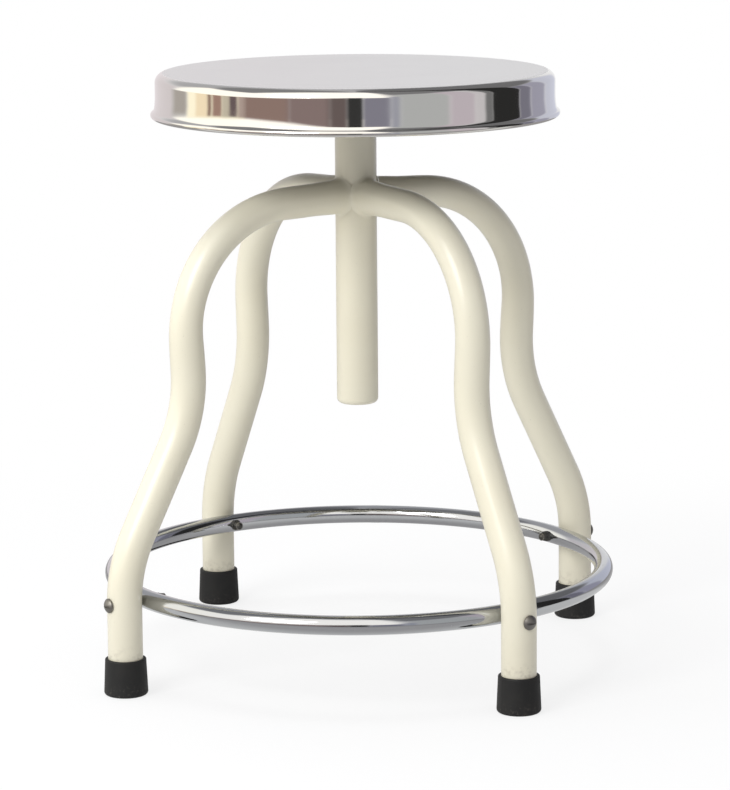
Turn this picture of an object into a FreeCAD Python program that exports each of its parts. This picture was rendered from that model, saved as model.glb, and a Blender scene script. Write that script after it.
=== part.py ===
import FreeCAD, Part
import math
import os
import Sketcher
from types import SimpleNamespace
from FreeCAD import Placement, Rotation, Vector

# A medical stool: four bent tube legs welded to a centre column, a foot ring, rubber shoes,
# and a round steel seat that rises on a screw as it is turned.
# The floor is at z = 0, the column's axis is Z, and the legs stand on the diagonals.
# Lengths are in millimetres and angles in degrees. The seat is drawn at its lowest.

# Driving dimensions
DIMENSIONS = {
    # Seat pan
    "seat_diameter": 295.0,
    "rim_depth": 33.0,
    "rim_corner": 6.0,
    "pan_sheet": 1.0,
    "bead_diameter": 4.6,
    # Plate, hub and fastenings under the seat
    "plate_diameter": 180.0,
    "plate_thickness": 4.0,
    "hub_wall": 13.0,
    "hub_height": 10.0,
    "hub_weld_size": 4.0,
    "stud_diameter": 6.0,
    "stud_circle": 130.0,
    "stud_proud": 2.0,
    "stud_washer_diameter": 12.5,
    "stud_washer_thickness": 1.6,
    "stud_nut_width": 10.0,
    "stud_nut_height": 5.0,
    # Lift screw and its nut
    "screw_diameter": 20.0,
    "thread_depth": 2.4,
    "thread_pitch": 6.0,
    "thread_flank": 15.0,
    "thread_gap": 0.35,
    "spindle_diameter": 14.0,
    "nut_wall": 3.0,
    "nut_length": 40.0,
    "nut_flange": 3.0,
    "thrust_thickness": 2.0,
    "thrust_gap": 0.6,
    "rest_gap": 0.3,
    # Stop at the lower end of the screw
    "seat_travel": 150.0,
    "stop_gap": 0.5,
    "stop_play": 0.3,
    "stop_side_gap": 0.6,
    "stop_spigot_diameter": 10.0,
    "stop_washer_thickness": 3.0,
    "stop_nut_width": 16.0,
    "stop_nut_height": 8.0,
    "cotter_diameter": 2.0,
    "cotter_proud": 3.0,
    "cotter_drop": 1.0,
    "cotter_eye_diameter": 6.0,
    "cotter_eye_thickness": 1.6,
    "spigot_end": 2.0,
    # Column
    "column_wall": 2.0,
    "column_rise": 73.5,
    "column_drop": 154.5,
    # Legs
    "leg_diameter": 25.4,
    "leg_wall": 1.5,
    "leg_run": 59.5,
    "shoulder_radius": 89.0,
    "lean_angle": 3.2,
    "waist_run": 20.5,
    "flare_radius": 106.0,
    "flare_angle": 27.9,
    "flare_run": 69.5,
    "ankle_radius": 104.5,
    "ankle_height": 67.5,
    "weld_radius": 3.0,
    # Foot ring and its screws
    "ring_diameter": 14.0,
    "ring_wall": 1.2,
    "ring_gap": 0.1,
    "ring_screw_diameter": 6.0,
    "ring_screw_proud": 1.5,
    "ring_head_diameter": 10.6,
    "ring_head_height": 3.6,
    "ring_head_edge": 1.0,
    "ring_slot_width": 1.6,
    "ring_slot_depth": 1.4,
    "ring_nut_width": 10.0,
    "ring_nut_height": 5.0,
    "hole_gap": 0.2,
    # Rubber shoes
    "shoe_height": 27.0,
    "shoe_wall": 2.3,
    "shoe_flare": 1.2,
    "shoe_base": 8.0,
    "shoe_edge": 2.5,
    "shoe_lip": 1.0,
    "tread_radius": 9.0,
    "tread_width": 3.0,
    "tread_depth": 2.0,
    "disc_thickness": 2.0,
    # Slack of a piece that is pushed or welded into its seat
    "snug_gap": 0.05,
}

LEG_NAMES = ("rear_right", "rear_left", "front_left", "front_right")
LEG_ANGLES = (45.0, 135.0, 225.0, 315.0)
HEX_HALF_ANGLE = 30.0
RUN_OUT_TURNS = 3.0

doc = FreeCAD.newDocument("medical_stool")
sheet = doc.addObject("Spreadsheet::Sheet", "sizes")
for row, (alias, number) in enumerate(DIMENSIONS.items(), start=1):
    sheet.set(f"A{row}", alias)
    sheet.set(f"B{row}", str(number))
    sheet.setAlias(f"B{row}", alias)
doc.recompute()


class Size:
    """A size that carries its number and the formula that ties it to the sheet."""

    def __init__(self, number, formula):
        self.number = float(number)
        self.formula = formula

    @staticmethod
    def of(value):
        return value if isinstance(value, Size) else Size(value, repr(float(value)))

    def is_zero(self):
        return self.formula == "0.0"

    def __add__(self, other):
        other = Size.of(other)
        return Size(self.number + other.number, f"({self.formula} + {other.formula})")

    def __sub__(self, other):
        other = Size.of(other)
        return Size(self.number - other.number, f"({self.formula} - {other.formula})")

    def __mul__(self, other):
        other = Size.of(other)
        return Size(self.number * other.number, f"({self.formula} * {other.formula})")

    def __truediv__(self, other):
        other = Size.of(other)
        return Size(self.number / other.number, f"({self.formula} / {other.formula})")

    def __rsub__(self, other):
        return Size.of(other) - self

    def __neg__(self):
        return Size(-self.number, f"(-{self.formula})")

    __radd__ = __add__
    __rmul__ = __mul__


def sine(angle):
    return Size(math.sin(math.radians(angle.number)), f"sin({angle.formula} * 1 deg)")


def cosine(angle):
    return Size(math.cos(math.radians(angle.number)), f"cos({angle.formula} * 1 deg)")


def tangent(angle):
    return Size(math.tan(math.radians(angle.number)), f"tan({angle.formula} * 1 deg)")


def root(value):
    return Size(math.sqrt(value.number), f"sqrt({value.formula})")


def whole(value):
    return Size(math.floor(value.number), f"floor({value.formula})")


d = SimpleNamespace(**{name: Size(sheet.get(name), f"sizes.{name}") for name in DIMENSIONS})
ZERO = Size.of(0.0)

# Leg: where its bends end, measured up from the floor and out from the column's axis
foot_radius = (
    d.leg_run
    + d.shoulder_radius * cosine(d.lean_angle)
    - d.waist_run * sine(d.lean_angle)
    + d.flare_radius * (cosine(d.lean_angle) - cosine(d.flare_angle))
    + d.flare_run * sine(d.flare_angle)
    + d.ankle_radius * (1.0 - cosine(d.flare_angle))
)
junction_height = (
    d.ankle_height
    + d.ankle_radius * sine(d.flare_angle)
    + d.flare_run * cosine(d.flare_angle)
    + d.flare_radius * (sine(d.flare_angle) + sine(d.lean_angle))
    + d.waist_run * cosine(d.lean_angle)
    + d.shoulder_radius * (1.0 + sine(d.lean_angle))
)
leg_radius = d.leg_diameter / 2.0
leg_end = d.shoe_base + d.disc_thickness

# Foot ring: inside the legs, where the ankle bend has become upright
ring_height = d.ankle_height
ring_radius = foot_radius - leg_radius - d.ring_diameter / 2.0 - d.ring_gap
ring_hole = d.ring_screw_diameter + 2.0 * d.hole_gap
ring_inner_face = ring_radius - d.ring_diameter / 2.0
leg_outer_face = foot_radius + leg_radius

# Column: sized from the screw outwards
thread_root = d.screw_diameter + 2.0 * d.thread_gap
nut_diameter = thread_root + 2.0 * d.nut_wall
column_bore = nut_diameter + 2.0 * d.snug_gap
column_diameter = column_bore + 2.0 * d.column_wall
column_top = junction_height + d.column_rise
column_bottom = junction_height - d.column_drop

# Seat: stacked on the column's top
flange_top = column_top + d.nut_flange
thrust_top = flange_top + d.thrust_thickness
hub_bottom = thrust_top + d.rest_gap
plate_bottom = hub_bottom + d.hub_height
pan_underside = plate_bottom + d.plate_thickness
seat_top = pan_underside + d.pan_sheet
rim_radius = d.seat_diameter / 2.0
rim_bottom = seat_top - d.rim_depth

# Lift screw: its thread starts in step with the nut's
core_diameter = d.screw_diameter - 2.0 * d.thread_depth
nut_bottom = column_top - d.nut_length
stop_top = nut_bottom - d.seat_travel - d.stop_gap
screw_shoulder = stop_top + d.stop_play
stop_bottom = stop_top - d.stop_washer_thickness
stop_nut_top = stop_bottom - d.stop_play
stop_nut_bottom = stop_nut_top - d.stop_nut_height
cotter_height = stop_nut_bottom - d.cotter_drop - d.cotter_diameter / 2.0
spigot_bottom = cotter_height - d.cotter_diameter / 2.0 - d.spigot_end
flank_spread = d.thread_depth * tangent(d.thread_flank)
ridge_tip = d.thread_pitch / 2.0 - flank_spread
ridge_foot = d.thread_pitch / 2.0 + flank_spread
groove_start = nut_bottom - d.thread_pitch
turns_below = whole((groove_start - screw_shoulder - ridge_foot) / d.thread_pitch)
thread_start = groove_start - turns_below * d.thread_pitch
thread_height = hub_bottom - thread_start - ridge_foot


# Helpers for the document
def bind(thing, name, size):
    """Ties one property of a document object to the sheet."""
    thing.setExpression(name, size.formula)


def origin(body, role):
    """The origin plane or axis of a body that has the given role."""
    return next(f for f in body.Origin.OriginFeatures if f.Role == role)


def new_body(name):
    return doc.addObject("PartDesign::Body", name)


def new_sketch(body, name, plane):
    sketch = body.newObject("Sketcher::SketchObject", name)
    sketch.AttachmentSupport = (origin(body, plane), [""])
    sketch.MapMode = "FlatFace"
    return sketch


def tie(sketch, kind, places, size):
    """Adds a dimension to a sketch and ties it to the sheet."""
    index = sketch.addConstraint(Sketcher.Constraint(kind, *places, size.number))
    sketch.setExpression(f"Constraints[{index}]", size.formula)


def place(sketch, geometry, point, x, y):
    """Fixes one point of a sketch at x, y, on an axis where a distance is none."""
    if x.is_zero() and y.is_zero():
        sketch.addConstraint(Sketcher.Constraint("Coincident", geometry, point, -1, 1))
        return
    for kind, axis, size in (("DistanceX", -2, x), ("DistanceY", -1, y)):
        if size.is_zero():
            sketch.addConstraint(Sketcher.Constraint("PointOnObject", geometry, point, axis))
        else:
            tie(sketch, kind, (-1, 1, geometry, point), size)


def circle(sketch, diameter, x=ZERO, y=ZERO):
    """A circle of the given diameter about x, y."""
    centre = Vector(x.number, y.number, 0)
    index = sketch.addGeometry(Part.Circle(centre, Vector(0, 0, 1), diameter.number / 2))
    place(sketch, index, 3, x, y)
    tie(sketch, "Diameter", (index,), diameter)


def polygon(sketch, corners):
    """A closed outline of straight runs through corners given as (x, y)."""
    points = [Vector(x.number, y.number, 0) for x, y in corners]
    count = len(corners)
    first = sketch.GeometryCount
    for i in range(count):
        sketch.addGeometry(Part.LineSegment(points[i], points[(i + 1) % count]))
    for i in range(count):
        end = first + (i - 1) % count
        sketch.addConstraint(Sketcher.Constraint("Coincident", end, 2, first + i, 1))
    for i, (x, y) in enumerate(corners):
        place(sketch, first + i, 1, x, y)


def pad(body, name, sketch, length, start=ZERO):
    """A pad on a sketch that is lifted to the height start."""
    bind(sketch, "AttachmentOffset.Base.z", start)
    feature = body.newObject("PartDesign::Pad", name)
    feature.Profile = sketch
    bind(feature, "Length", length)
    return feature


def revolve(body, name, sketch, kind="PartDesign::Revolution"):
    """A full turn of a sketch about the body's upright axis, added or cut."""
    feature = body.newObject(kind, name)
    feature.Profile = sketch
    feature.ReferenceAxis = (sketch, ["V_Axis"])
    feature.Angle = 360
    return feature


def pocket_through(body, name, sketch, forwards=True):
    """A cut from a sketch's plane right through the solid on one side of the plane."""
    feature = body.newObject("PartDesign::Pocket", name)
    feature.Profile = sketch
    feature.Type = "ThroughAll"
    feature.Reversed = forwards
    return feature


def polar(body, name, feature, count):
    """Repeats a feature round the body's upright axis."""
    pattern = body.newObject("PartDesign::PolarPattern", name)
    pattern.Originals = [feature]
    pattern.Axis = (origin(body, "Z_Axis"), [""])
    pattern.Angle = 360
    pattern.Occurrences = count
    body.Tip = pattern
    return pattern


def round_edges(body, name, feature, radius, height, reach):
    """Rounds the circular edge of the given height and radius on a turned piece."""
    doc.recompute()
    names = []
    for number, edge in enumerate(feature.Shape.Edges, start=1):
        if not isinstance(edge.Curve, Part.Circle):
            continue
        same_height = abs(edge.Curve.Center.z - height.number) < 1e-4
        if same_height and abs(edge.Curve.Radius - reach.number) < 1e-4:
            names.append(f"Edge{number}")
    fillet = body.newObject("PartDesign::Fillet", name)
    fillet.Base = (feature, names)
    bind(fillet, "Radius", radius)
    return fillet


def primitive(kind, name, **sizes):
    """A Part primitive with each of its sizes tied to the sheet."""
    thing = doc.addObject(kind, name)
    for field, size in sizes.items():
        bind(thing, field, size)
    return thing


def at(thing, x=ZERO, y=ZERO, z=ZERO):
    """Ties the place of an object to the sheet."""
    for axis, size in (("x", x), ("y", y), ("z", z)):
        bind(thing, f"Placement.Base.{axis}", size)
    return thing


def combine(kind, name, base, tool):
    thing = doc.addObject(kind, name)
    thing.Base = base
    thing.Tool = tool
    return thing


def group(name, master, angles):
    """A set of copies of one piece, turned about the column's axis."""
    copies = []
    for number, angle in enumerate(angles, start=1):
        copy = doc.addObject("App::Link", f"{name}_{number}")
        copy.LinkedObject = master
        copy.LinkTransform = True
        copy.Placement = Placement(Vector(), Rotation(Vector(0, 0, 1), angle))
        copies.append(copy)
    compound = doc.addObject("Part::Compound", name)
    compound.Links = copies
    return compound


def turned(thing, angle):
    """Turns a piece about the column's axis."""
    thing.Placement = Placement(Vector(), Rotation(Vector(0, 0, 1), angle))
    return thing


def washer(name, outside, bore, thickness, start):
    body = new_body(name)
    sketch = new_sketch(body, f"{name}_outline", "XY_Plane")
    circle(sketch, outside)
    circle(sketch, bore)
    pad(body, f"{name}_pad", sketch, thickness, start)
    return body


def hex_nut(name, width, height, bore):
    """A hexagon nut with its corners turned off, seated on z = 0."""
    corner = width / 2.0 / cosine(Size.of(HEX_HALF_ANGLE))
    prism = primitive("Part::Prism", f"{name}_hexagon", Circumradius=corner, Height=height)
    prism.Polygon = 6
    reach = root(width / 2.0 * (width / 2.0) + height / 2.0 * (height / 2.0))
    ball = primitive("Part::Sphere", f"{name}_turning", Radius=reach)
    at(ball, z=height / 2.0)
    blank = combine("Part::Common", f"{name}_blank", prism, ball)
    hole = primitive("Part::Cylinder", f"{name}_bore", Radius=bore / 2.0, Height=height)
    return combine("Part::Cut", name, blank, hole)


# Column tube
def make_column():
    return washer("column_tube", column_diameter, column_bore, column_top - column_bottom, column_bottom)


# Legs
def leg_path(body, name):
    """The centreline of a leg: out, over the shoulder, down the waist, out again and upright."""
    lean = math.radians(d.lean_angle.number)
    flare = math.radians(d.flare_angle.number)
    turn = math.pi / 2
    up = Vector(0, 0, 1)
    sketch = new_sketch(body, name, "XZ_Plane")

    def arc(centre, radius, first, last):
        ring = Part.Circle(centre, up, radius.number)
        return sketch.addGeometry(Part.ArcOfCircle(ring, first, last))

    def line(start, end):
        return sketch.addGeometry(Part.LineSegment(start, end))

    top = Vector(d.leg_run.number, junction_height.number, 0)
    centre = top - Vector(0, d.shoulder_radius.number, 0)
    shoulder_end = centre + Vector(math.cos(lean), -math.sin(lean), 0) * d.shoulder_radius.number
    waist_end = shoulder_end - Vector(math.sin(lean), math.cos(lean), 0) * d.waist_run.number
    flare_centre = waist_end + Vector(math.cos(lean), -math.sin(lean), 0) * d.flare_radius.number
    flare_start = flare_centre - Vector(math.cos(flare), math.sin(flare), 0) * d.flare_radius.number
    flare_end = flare_start + Vector(math.sin(flare), -math.cos(flare), 0) * d.flare_run.number
    ankle_centre = flare_end - Vector(math.cos(flare), math.sin(flare), 0) * d.ankle_radius.number
    ankle_end = ankle_centre + Vector(d.ankle_radius.number, 0, 0)

    arm = line(Vector(0, top.y, 0), top)
    shoulder = arc(centre, d.shoulder_radius, -lean, turn)
    waist = line(shoulder_end, waist_end)
    knee = arc(flare_centre, d.flare_radius, 2 * turn - lean, 2 * turn + flare)
    shin = line(flare_start, flare_end)
    ankle = arc(ankle_centre, d.ankle_radius, 0, flare)
    shank = line(ankle_end, Vector(ankle_end.x, leg_end.number, 0))

    joints = (
        (arm, 2, shoulder, 2),
        (shoulder, 1, waist, 1),
        (waist, 2, knee, 1),
        (knee, 2, shin, 1),
        (shin, 2, ankle, 2),
        (ankle, 1, shank, 1),
    )
    for joint in joints:
        sketch.addConstraint(Sketcher.Constraint("Tangent", *joint))
    sketch.addConstraint(Sketcher.Constraint("Horizontal", arm))
    sketch.addConstraint(Sketcher.Constraint("Vertical", shank))
    place(sketch, arm, 1, ZERO, junction_height)
    tie(sketch, "DistanceX", (-1, 1, arm, 2), d.leg_run)
    tie(sketch, "Radius", (shoulder,), d.shoulder_radius)
    tie(sketch, "DistanceX", (waist, 2, waist, 1), d.waist_run * sine(d.lean_angle))
    tie(sketch, "DistanceY", (waist, 2, waist, 1), d.waist_run * cosine(d.lean_angle))
    tie(sketch, "Radius", (knee,), d.flare_radius)
    tie(sketch, "DistanceX", (shin, 1, shin, 2), d.flare_run * sine(d.flare_angle))
    tie(sketch, "DistanceY", (shin, 2, shin, 1), d.flare_run * cosine(d.flare_angle))
    tie(sketch, "Radius", (ankle,), d.ankle_radius)
    tie(sketch, "DistanceY", (-1, 1, shank, 2), leg_end)
    return sketch, shank + 1


def make_leg(name, angle):
    body = new_body(f"leg_{name}")
    path, runs = leg_path(body, f"leg_{name}_centreline")
    section = new_sketch(body, f"leg_{name}_section", "YZ_Plane")
    circle(section, d.leg_diameter, ZERO, junction_height)
    circle(section, d.leg_diameter - 2.0 * d.leg_wall, ZERO, junction_height)
    tube = body.newObject("PartDesign::AdditivePipe", f"leg_{name}_tube")
    tube.Profile = section
    tube.Spine = (path, [f"Edge{run}" for run in range(1, runs + 1)])

    cope = new_sketch(body, f"leg_{name}_cope", "XY_Plane")
    circle(cope, column_diameter + 2.0 * d.snug_gap)
    pocket_through(body, f"leg_{name}_cope_cut", cope)

    mitre = new_sketch(body, f"leg_{name}_mitre", "XY_Plane")
    wide = d.leg_diameter
    corners = (
        (d.snug_gap, ZERO),
        (wide + d.snug_gap, wide),
        (-wide, wide),
        (-wide, -wide),
        (wide + d.snug_gap, -wide),
    )
    polygon(mitre, corners)
    pocket_through(body, f"leg_{name}_mitre_cut", mitre)

    hole = new_sketch(body, f"leg_{name}_hole", "YZ_Plane")
    circle(hole, ring_hole, ZERO, ring_height)
    pocket_through(body, f"leg_{name}_hole_cut", hole)
    return turned(body, angle)


def make_leg_welds():
    """The weld run between the legs and the column: what a rounded inside corner adds to them."""
    reach = column_diameter.number + d.leg_diameter.number
    middle = Vector(0, 0, junction_height.number)
    joint = Part.makeCylinder(column_diameter.number / 2, 2 * reach, middle - Vector(0, 0, reach))
    for way in (Vector(1, 0, 0), Vector(0, 1, 0), Vector(-1, 0, 0), Vector(0, -1, 0)):
        joint = joint.fuse(Part.makeCylinder(leg_radius.number, reach, middle, way))
    joint = joint.removeSplitter()
    inside = []
    for edge in joint.Edges:
        point = edge.valueAt((edge.FirstParameter + edge.LastParameter) / 2) - middle
        from_axis = math.hypot(point.x, point.y)
        seam = isinstance(edge.Curve, Part.Line)
        if not seam and from_axis < reach / 2 and abs(point.z) < reach / 2:
            inside.append(edge)
    rounded = joint.makeFillet(d.weld_radius.number, inside)
    weld = doc.addObject("Part::Feature", "leg_welds")
    weld.Shape = rounded.cut(joint)
    return turned(weld, LEG_ANGLES[0])


# Foot ring
def make_foot_ring():
    body = new_body("foot_ring")
    section = new_sketch(body, "ring_section", "XZ_Plane")
    circle(section, d.ring_diameter, ring_radius, ring_height)
    circle(section, d.ring_diameter - 2.0 * d.ring_wall, ring_radius, ring_height)
    revolve(body, "ring_tube", section)
    hole = new_sketch(body, "ring_hole", "YZ_Plane")
    circle(hole, ring_hole, ZERO, ring_height)
    cut = pocket_through(body, "ring_hole_cut", hole)
    doc.recompute()
    polar(body, "ring_holes", cut, len(LEG_ANGLES))
    return turned(body, LEG_ANGLES[0])


def make_ring_screws():
    """Slotted screws with low domed heads, one from outside each leg."""
    length = leg_outer_face - ring_inner_face + d.ring_nut_height + d.ring_screw_proud
    shank = primitive(
        "Part::Cylinder", "ring_screw_shank", Radius=d.ring_screw_diameter / 2.0, Height=length
    )
    at(shank, z=-length)
    half = d.ring_head_diameter / 2.0
    rise = d.ring_head_height - d.ring_head_edge
    dome_radius = (half * half + rise * rise) / (2.0 * rise)
    barrel = primitive("Part::Cylinder", "ring_screw_barrel", Radius=half, Height=d.ring_head_height)
    dome = primitive("Part::Sphere", "ring_screw_dome", Radius=dome_radius)
    at(dome, z=d.ring_head_height - dome_radius)
    head = combine("Part::Common", "ring_screw_head", barrel, dome)
    slot = primitive(
        "Part::Box",
        "ring_screw_slot",
        Length=d.ring_slot_width,
        Width=d.ring_head_diameter,
        Height=d.ring_slot_depth,
    )
    at(slot, -d.ring_slot_width / 2.0, -half, d.ring_head_height - d.ring_slot_depth)
    slotted = combine("Part::Cut", "ring_screw_slotted", head, slot)
    screw = combine("Part::Fuse", "ring_screw", slotted, shank)
    screw.Placement = Placement(Vector(), Rotation(Vector(0, 1, 0), 90))
    at(screw, leg_outer_face, ZERO, ring_height)
    return group("ring_screws", screw, LEG_ANGLES)


def make_ring_nuts():
    nut = hex_nut("ring_nut", d.ring_nut_width, d.ring_nut_height, d.ring_screw_diameter + 2.0 * d.snug_gap)
    nut.Placement = Placement(Vector(), Rotation(Vector(0, 1, 0), -90))
    at(nut, ring_inner_face, ZERO, ring_height)
    return group("ring_nuts", nut, LEG_ANGLES)


# Rubber shoes
def make_shoe(name, angle):
    bore = leg_radius + d.snug_gap
    top_reach = bore + d.shoe_wall
    base_reach = top_reach + d.shoe_flare
    body = new_body(f"shoe_{name}")
    outline = new_sketch(body, f"shoe_{name}_outline", "XZ_Plane")
    corners = (
        (ZERO, ZERO),
        (base_reach, ZERO),
        (top_reach, d.shoe_height),
        (bore, d.shoe_height),
        (bore, d.shoe_base),
        (ZERO, d.shoe_base),
    )
    polygon(outline, corners)
    cup = revolve(body, f"shoe_{name}_cup", outline)
    base = round_edges(body, f"shoe_{name}_base", cup, d.shoe_edge, ZERO, base_reach)
    lip = round_edges(body, f"shoe_{name}_lip", base, d.shoe_lip, d.shoe_height, top_reach)
    tread = new_sketch(body, f"shoe_{name}_tread", "XZ_Plane")
    corners = (
        (d.tread_radius, ZERO),
        (d.tread_radius + d.tread_width, ZERO),
        (d.tread_radius + d.tread_width, d.tread_depth),
        (d.tread_radius, d.tread_depth),
    )
    polygon(tread, corners)
    groove = revolve(body, f"shoe_{name}_groove", tread, "PartDesign::Groove")
    doc.recompute()
    if groove.Shape.Volume >= lip.Shape.Volume:
        raise RuntimeError(f"the tread of shoe {name} cuts nothing")
    way = Rotation(Vector(0, 0, 1), angle)
    body.Placement = Placement(way.multVec(Vector(foot_radius.number, 0, 0)), way)
    bind(body, "Placement.Base.x", foot_radius * cosine(Size.of(angle)))
    bind(body, "Placement.Base.y", foot_radius * sine(Size.of(angle)))
    return body


def make_shoe_discs():
    """Steel discs in the shoes, which the ends of the legs stand on."""
    disc = primitive("Part::Cylinder", "shoe_disc", Radius=leg_radius, Height=d.disc_thickness)
    at(disc, foot_radius, ZERO, d.shoe_base)
    return group("shoe_discs", disc, LEG_ANGLES)


# Lift nut and thrust washer on the column
def thread_section(sketch, middle, foot, tip, inner, outer):
    """The section of a screw ridge, or of the groove that takes it."""
    corners = (
        (inner, middle - foot / 2.0),
        (outer, middle - tip / 2.0),
        (outer, middle + tip / 2.0),
        (inner, middle + foot / 2.0),
    )
    polygon(sketch, corners)


def helix(body, name, kind, sketch, height):
    feature = body.newObject(kind, name)
    feature.Profile = sketch
    feature.ReferenceAxis = (sketch, ["V_Axis"])
    feature.Mode = "pitch-height-angle"
    feature.Angle = 0
    bind(feature, "Pitch", d.thread_pitch)
    bind(feature, "Height", height)
    return feature


def make_lift_nut():
    bore = core_diameter / 2.0 + d.thread_gap
    body = new_body("lift_nut")
    outline = new_sketch(body, "lift_nut_outline", "XZ_Plane")
    corners = (
        (bore, nut_bottom),
        (nut_diameter / 2.0, nut_bottom),
        (nut_diameter / 2.0, column_top),
        (column_diameter / 2.0, column_top),
        (column_diameter / 2.0, flange_top),
        (bore, flange_top),
    )
    polygon(outline, corners)
    blank = revolve(body, "lift_nut_blank", outline)
    doc.recompute()
    section = new_sketch(body, "lift_nut_groove", "XZ_Plane")
    inner = bore - d.thread_gap
    widen = 2.0 * d.thread_gap / cosine(d.thread_flank)
    deeper = d.thread_gap * tangent(d.thread_flank)
    foot = ridge_foot + widen
    tip = ridge_tip + widen - 2.0 * deeper
    thread_section(section, groove_start, foot, tip, inner, thread_root / 2.0)
    length = d.nut_length + d.nut_flange + RUN_OUT_TURNS * d.thread_pitch
    thread = helix(body, "lift_nut_thread", "PartDesign::SubtractiveHelix", section, length)
    doc.recompute()
    if thread.Shape.Volume >= blank.Shape.Volume:
        raise RuntimeError("the lift nut's thread cuts nothing")
    return body


def make_thrust_washer():
    bore = d.screw_diameter + 2.0 * d.thrust_gap
    return washer("thrust_washer", column_diameter, bore, d.thrust_thickness, flange_top)


# Lift screw and the stop at its lower end
def make_lift_screw():
    body = new_body("lift_screw")
    outline = new_sketch(body, "lift_screw_outline", "XZ_Plane")
    core = core_diameter / 2.0
    spigot = d.stop_spigot_diameter / 2.0
    spindle = d.spindle_diameter / 2.0
    corners = (
        (ZERO, spigot_bottom),
        (spigot, spigot_bottom),
        (spigot, screw_shoulder),
        (core, screw_shoulder),
        (core, hub_bottom),
        (spindle, hub_bottom),
        (spindle, pan_underside),
        (ZERO, pan_underside),
    )
    polygon(outline, corners)
    revolve(body, "lift_screw_core", outline)
    doc.recompute()
    section = new_sketch(body, "lift_screw_ridge", "XZ_Plane")
    sunk = core - d.thread_gap
    foot = ridge_foot + 2.0 * d.thread_gap * tangent(d.thread_flank)
    thread_section(section, thread_start, foot, ridge_tip, sunk, d.screw_diameter / 2.0)
    helix(body, "lift_screw_thread", "PartDesign::AdditiveHelix", section, thread_height)
    doc.recompute()
    hole = new_sketch(body, "lift_screw_pin_hole", "YZ_Plane")
    circle(hole, d.cotter_diameter + 2.0 * d.hole_gap, ZERO, cotter_height)
    cut = pocket_through(body, "lift_screw_pin_hole_cut", hole, forwards=False)
    other = pocket_through(body, "lift_screw_pin_hole_end", hole)
    doc.recompute()
    if other.Shape.Volume >= cut.Shape.Volume:
        raise RuntimeError("the pin hole cuts only one side of the spigot")
    return body


def make_stop_washer():
    outside = column_bore - 2.0 * d.stop_side_gap
    bore = d.stop_spigot_diameter + 2.0 * d.stop_play
    return washer("stop_washer", outside, bore, d.stop_washer_thickness, stop_bottom)


def make_stop_nut():
    bore = d.stop_spigot_diameter + 2.0 * d.snug_gap
    nut = hex_nut("stop_nut", d.stop_nut_width, d.stop_nut_height, bore)
    return at(nut, z=stop_nut_bottom)


def make_cotter_pin():
    """A split pin below the stop nut, drawn as a rod with an eye, laid along X."""
    half = d.stop_spigot_diameter / 2.0 + d.cotter_proud
    eye_middle = half + d.cotter_eye_diameter / 2.0 - d.cotter_diameter
    length = 2.0 * half - d.cotter_diameter / 2.0
    rod = primitive("Part::Cylinder", "cotter_rod", Radius=d.cotter_diameter / 2.0, Height=length)
    rod.Placement = Placement(Vector(), Rotation(Vector(0, 1, 0), 90))
    at(rod, -half)
    eye = primitive(
        "Part::Cylinder",
        "cotter_eye",
        Radius=d.cotter_eye_diameter / 2.0,
        Height=d.cotter_eye_thickness,
    )
    at(eye, eye_middle, ZERO, -d.cotter_eye_thickness / 2.0)
    eyed_rod = combine("Part::Fuse", "cotter_eyed_rod", rod, eye)
    hole = primitive(
        "Part::Cylinder",
        "cotter_eye_hole",
        Radius=d.cotter_eye_diameter / 2.0 - d.cotter_diameter,
        Height=2.0 * d.cotter_diameter,
    )
    at(hole, eye_middle, ZERO, -d.cotter_diameter)
    pin = combine("Part::Cut", "cotter_pin", eyed_rod, hole)
    return at(pin, z=cotter_height)


# Seat
def make_seat_hub():
    outside = d.spindle_diameter + 2.0 * d.hub_wall
    bore = d.spindle_diameter + 2.0 * d.snug_gap
    return washer("seat_hub", outside, bore, d.hub_height, hub_bottom)


def make_hub_weld():
    """A fillet weld in the corner between the hub and the plate."""
    reach = d.spindle_diameter / 2.0 + d.hub_wall
    body = new_body("hub_weld")
    outline = new_sketch(body, "hub_weld_outline", "XZ_Plane")
    corners = (
        (reach, plate_bottom),
        (reach, plate_bottom - d.hub_weld_size),
        (reach + d.hub_weld_size, plate_bottom),
    )
    polygon(outline, corners)
    revolve(body, "hub_weld_bead", outline)
    return body


def make_seat_plate():
    body = new_body("seat_plate")
    outline = new_sketch(body, "seat_plate_outline", "XY_Plane")
    circle(outline, d.plate_diameter)
    circle(outline, d.spindle_diameter + 2.0 * d.snug_gap)
    pad(body, "seat_plate_pad", outline, d.plate_thickness, plate_bottom)
    hole = new_sketch(body, "seat_plate_hole", "XY_Plane")
    circle(hole, d.stud_diameter + 2.0 * d.hole_gap, d.stud_circle / 2.0, ZERO)
    cut = pocket_through(body, "seat_plate_hole_cut", hole)
    doc.recompute()
    polar(body, "seat_plate_holes", cut, len(LEG_ANGLES))
    return turned(body, LEG_ANGLES[0])


def make_seat_pan():
    body = new_body("seat_pan")
    outline = new_sketch(body, "seat_pan_outline", "XZ_Plane")
    inside = rim_radius - d.pan_sheet
    bead_middle = rim_bottom + d.bead_diameter / 2.0
    corners = (
        (ZERO, seat_top),
        (rim_radius, seat_top),
        (rim_radius, bead_middle),
        (inside, bead_middle),
        (inside, pan_underside),
        (ZERO, pan_underside),
    )
    polygon(outline, corners)
    pressing = revolve(body, "seat_pan_pressing", outline)
    outer = round_edges(body, "seat_pan_corner", pressing, d.rim_corner, seat_top, rim_radius)
    inner_radius = d.rim_corner - d.pan_sheet
    round_edges(body, "seat_pan_inner_corner", outer, inner_radius, pan_underside, inside)
    bead = new_sketch(body, "seat_pan_bead", "XZ_Plane")
    circle(bead, d.bead_diameter, inside + d.bead_diameter / 2.0, bead_middle)
    revolve(body, "seat_pan_rolled_edge", bead)
    return body


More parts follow.
